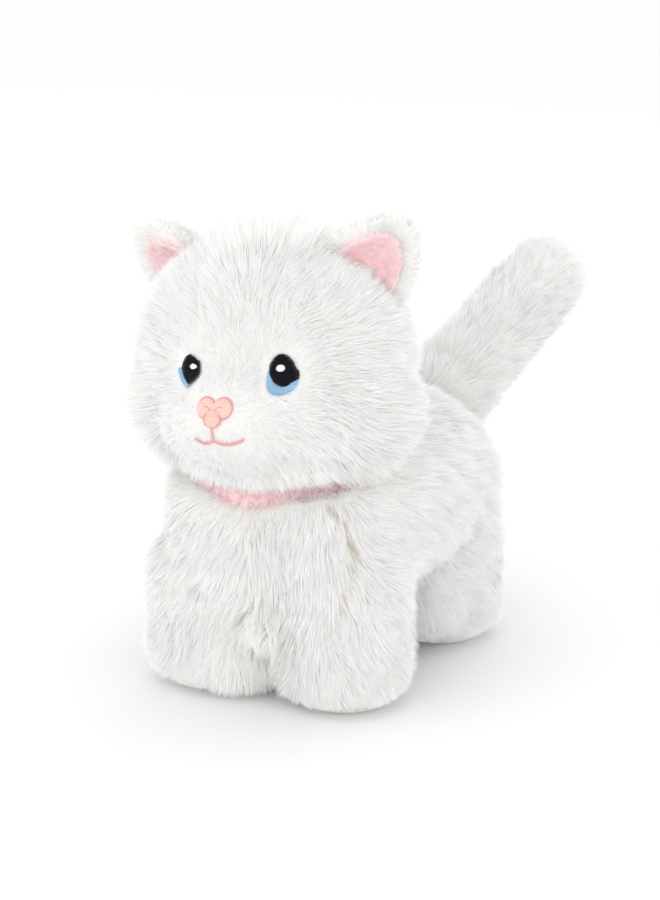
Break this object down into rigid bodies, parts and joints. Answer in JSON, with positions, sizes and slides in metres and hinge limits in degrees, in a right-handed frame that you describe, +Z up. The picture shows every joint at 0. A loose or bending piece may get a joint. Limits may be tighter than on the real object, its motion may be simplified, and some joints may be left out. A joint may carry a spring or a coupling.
{
  "type": "plush cat",
  "caption": "Standing stuffed plush cat with a round head, folding lined ears, embroidered face, fuzzy collar and upright tail.",
  "frame": {"origin": "middle of the toy's box, on the surface that the paws stand on", "axes": "+Z up, -Y the way the cat faces, +X the cat's left"},
  "size_m": [0.1518, 0.3293, 0.2348],
  "materials": {
    "plush": "long white pile fabric",
    "sole": "short white pile fabric",
    "ear_lining": "short pink plush",
    "collar": "fuzzy pink pile band",
    "eye_black": "satin-stitched black thread",
    "eye_blue": "satin-stitched blue thread",
    "eye_white": "white thread",
    "nose": "satin-stitched salmon thread",
    "mouth": "rose thread",
    "stuffing": "white polyester fibre fill"
  },
  "bodies": {
    "torso": {"belly_panel": "plush", "chest_panel": "plush", "torso_side_left": "plush", "torso_side_right": "plush", "torso_stuffing": "stuffing", "leg_cover_front_left": "plush", "leg_stuffing_front_left": "stuffing", "paw_sole_front_left": "sole", "leg_cover_front_right": "plush", "leg_stuffing_front_right": "stuffing", "paw_sole_front_right": "sole", "leg_cover_hind_left": "plush", "leg_stuffing_hind_left": "stuffing", "paw_sole_hind_left": "sole", "leg_cover_hind_right": "plush", "leg_stuffing_hind_right": "stuffing", "paw_sole_hind_right": "sole"},
    "neck": {"neck_cover": "plush", "neck_stuffing": "stuffing", "collar": "collar"},
    "head": {"muzzle_panel": "plush", "forehead_gusset": "plush", "chin_panel": "plush", "crown_gusset": "plush", "cheek_left": "plush", "head_back_left": "plush", "cheek_right": "plush", "head_back_right": "plush", "head_stuffing": "stuffing", "eye_pupil_left": "eye_black", "eye_iris_left": "eye_blue", "eye_glint_left": "eye_white", "nose_lobe_left": "nose", "eye_pupil_right": "eye_black", "eye_iris_right": "eye_blue", "eye_glint_right": "eye_white", "nose_lobe_right": "nose", "nose_tip": "nose", "mouth_stem": "mouth", "mouth_arc_left": "mouth", "mouth_arc_right": "mouth"},
    "ear_left": {"ear_back_left": "plush", "ear_lining_left": "ear_lining"},
    "ear_right": {"ear_back_right": "plush", "ear_lining_right": "ear_lining"},
    "tail_root": {"tail_root_cover": "plush", "tail_root_stuffing": "stuffing"},
    "tail": {"tail_cover_left": "plush", "tail_cover_right": "plush", "tail_stuffing": "stuffing"}
  },
  "joints": [
    {"name": "head_turn", "type": "hinge", "parent": "torso", "child": "neck", "pos_m": [0.00257, -0.0829, 0.117], "axis": [0, -0.2419, 0.9703], "range_deg": [-25, 25], "stiffness_Nm_per_rad": 0.5},
    {"name": "head_nod", "type": "hinge", "parent": "neck", "child": "head", "pos_m": [0.00257, -0.0829, 0.117], "axis": [1, 0, 0], "range_deg": [-8, 8], "stiffness_Nm_per_rad": 0.8},
    {"name": "ear_left_fold", "type": "hinge", "parent": "head", "child": "ear_left", "pos_m": [0.05121, -0.0983, 0.2127], "axis": [0.7545, 0.309, -0.579], "range_deg": [-25, 30], "stiffness_Nm_per_rad": 0.02},
    {"name": "ear_right_fold", "type": "hinge", "parent": "head", "child": "ear_right", "pos_m": [-0.05174, -0.0983, 0.2055], "axis": [0.6666, -0.309, 0.6783], "range_deg": [-25, 30], "stiffness_Nm_per_rad": 0.02},
    {"name": "tail_swing", "type": "hinge", "parent": "torso", "child": "tail_root", "pos_m": [0.01557, 0.0618, 0.1121], "axis": [-0.1741, -0.5114, 0.8415], "range_deg": [-20, 20], "stiffness_Nm_per_rad": 0.3},
    {"name": "tail_lift", "type": "hinge", "parent": "tail_root", "child": "tail", "pos_m": [0.01557, 0.0618, 0.1121], "axis": [0.9466, -0.3223, 0], "range_deg": [-12, 15], "stiffness_Nm_per_rad": 0.4}
  ]
}
